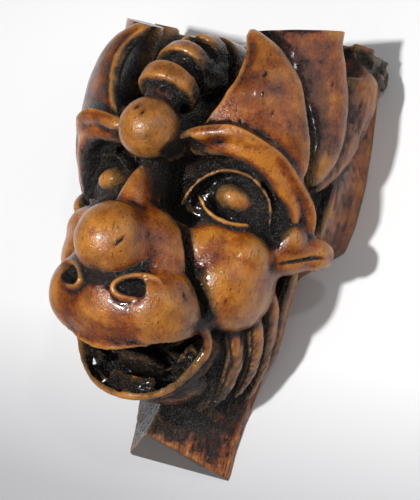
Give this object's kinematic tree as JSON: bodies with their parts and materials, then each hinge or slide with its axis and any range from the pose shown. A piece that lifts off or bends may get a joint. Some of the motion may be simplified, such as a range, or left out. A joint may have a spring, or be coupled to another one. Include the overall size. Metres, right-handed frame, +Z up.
{
  "type": "dragon corbel",
  "caption": "Corbel carved as a horned dragon's head with open mouth and leafy ears, on a flat-backed block that tapers to a cut stem.",
  "frame": {"origin": "middle of the flat back, where the corbel meets the wall", "axes": "+Y points out of the flat back into the wall, the head looks along -Y, +Z up, +X to the viewer's right"},
  "size_m": [0.0978, 0.0847, 0.15],
  "materials": {
    "stained_corbel": "brown wood-effect stain, near black in the hollows, waxed to a satin sheen"
  },
  "bodies": {
    "root": {"dragon_corbel": "stained_corbel"}
  },
  "joints": []
}
